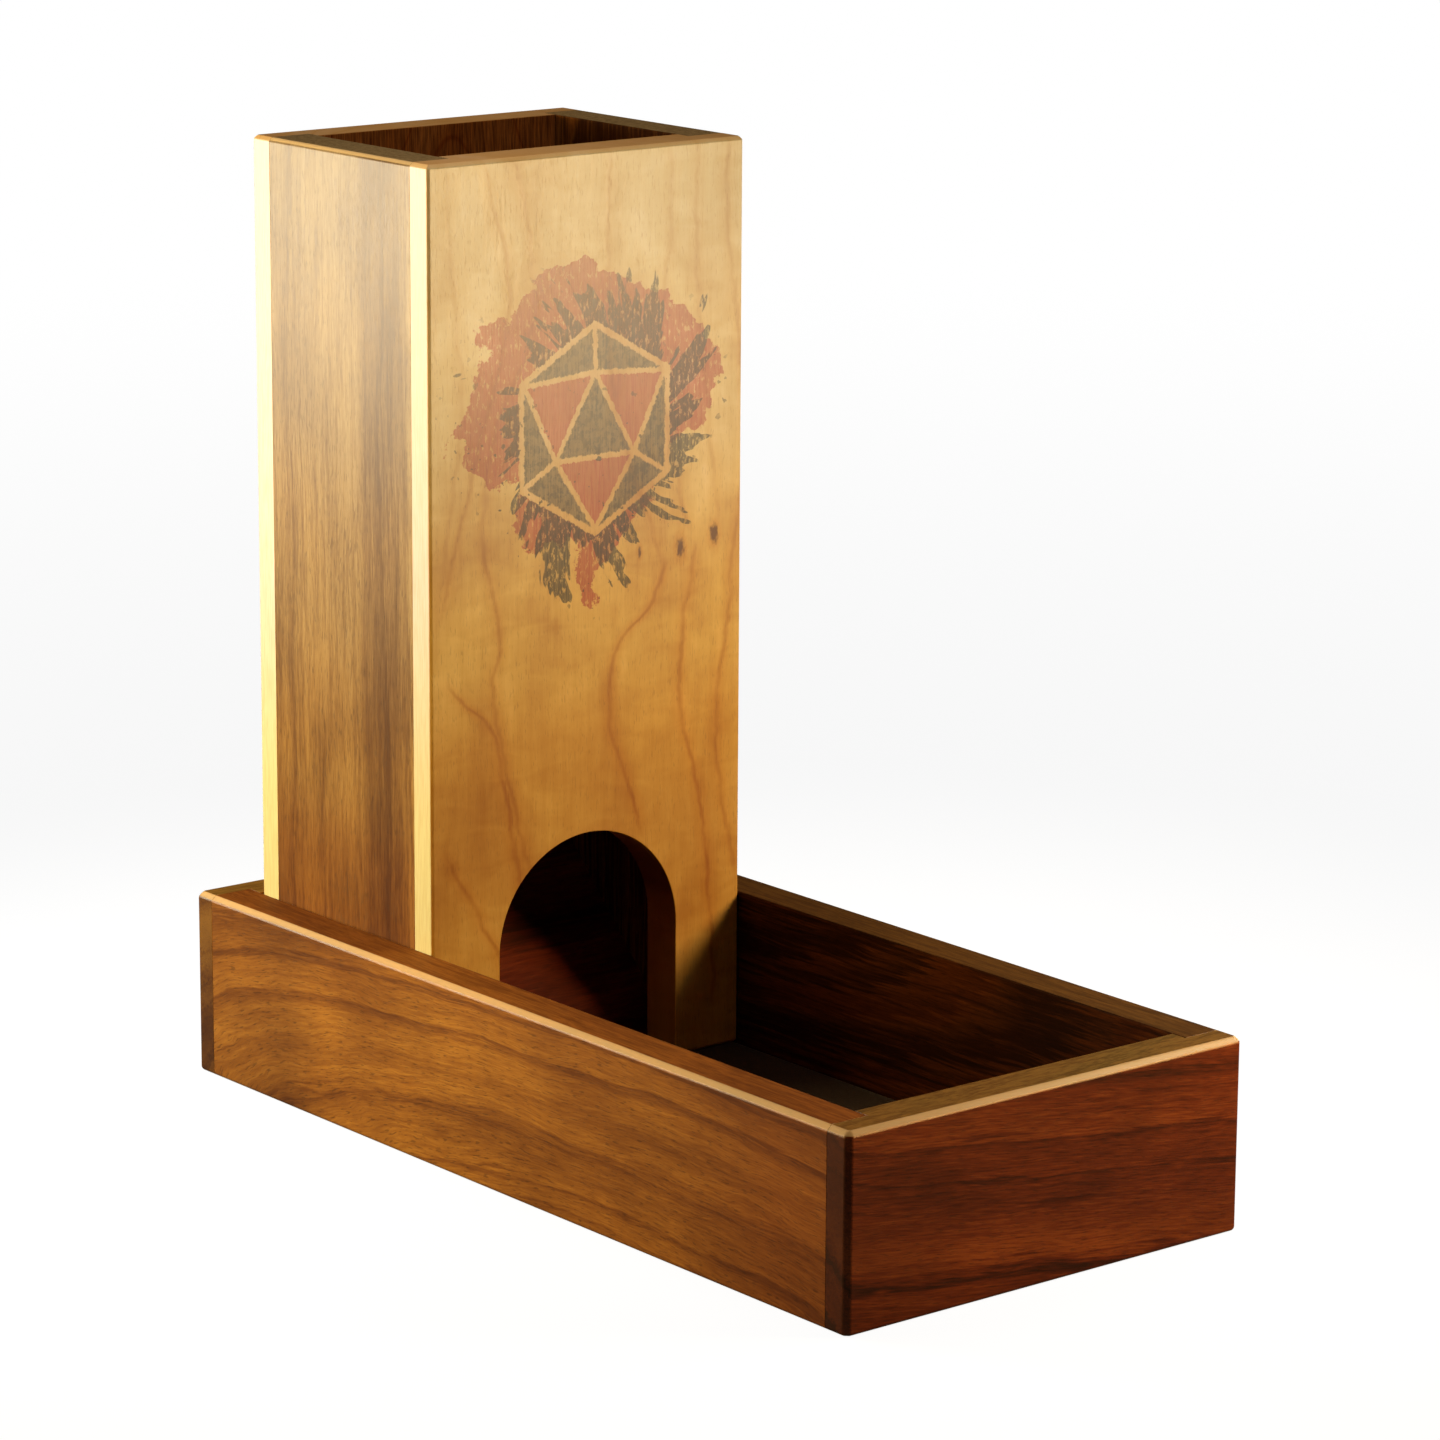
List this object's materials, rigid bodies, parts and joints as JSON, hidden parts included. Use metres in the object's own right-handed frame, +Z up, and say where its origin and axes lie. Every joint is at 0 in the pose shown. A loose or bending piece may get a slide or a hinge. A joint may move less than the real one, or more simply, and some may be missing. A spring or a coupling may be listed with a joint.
{
  "type": "dice tower",
  "caption": "Hardwood dice tower: a square chute with an arched exit stands in the back of a long open tray and lifts out of it.",
  "frame": {"origin": "middle of the tray's underside, on the table", "axes": "+Z up, -Y out of the arch along the tray towards the front end, +X to the right when facing the arch from outside the tray's front end, looking towards +Y"},
  "size_m": [0.13, 0.2774, 0.2599],
  "materials": {
    "walnut": "rubbed oil and varnish, satin",
    "maple": "rubbed oil and varnish, satin",
    "felt": "matt felt"
  },
  "bodies": {
    "tray": {"tray_left_side": "walnut", "tray_right_side": "walnut", "tray_front_end": "walnut", "tray_back_end": "walnut", "tray_floor": "walnut", "tray_liner": "felt"},
    "tower": {"tower_front_panel": "maple", "tower_back_panel": "maple", "tower_left_side": "walnut", "tower_right_side": "walnut", "upper_baffle": "walnut", "lower_baffle": "walnut", "exit_ramp": "walnut"}
  },
  "joints": [
    {"name": "tower_lift", "type": "slide", "parent": "tray", "child": "tower", "axis": [0, 0, 1], "range_m": [0, 0.06]}
  ]
}
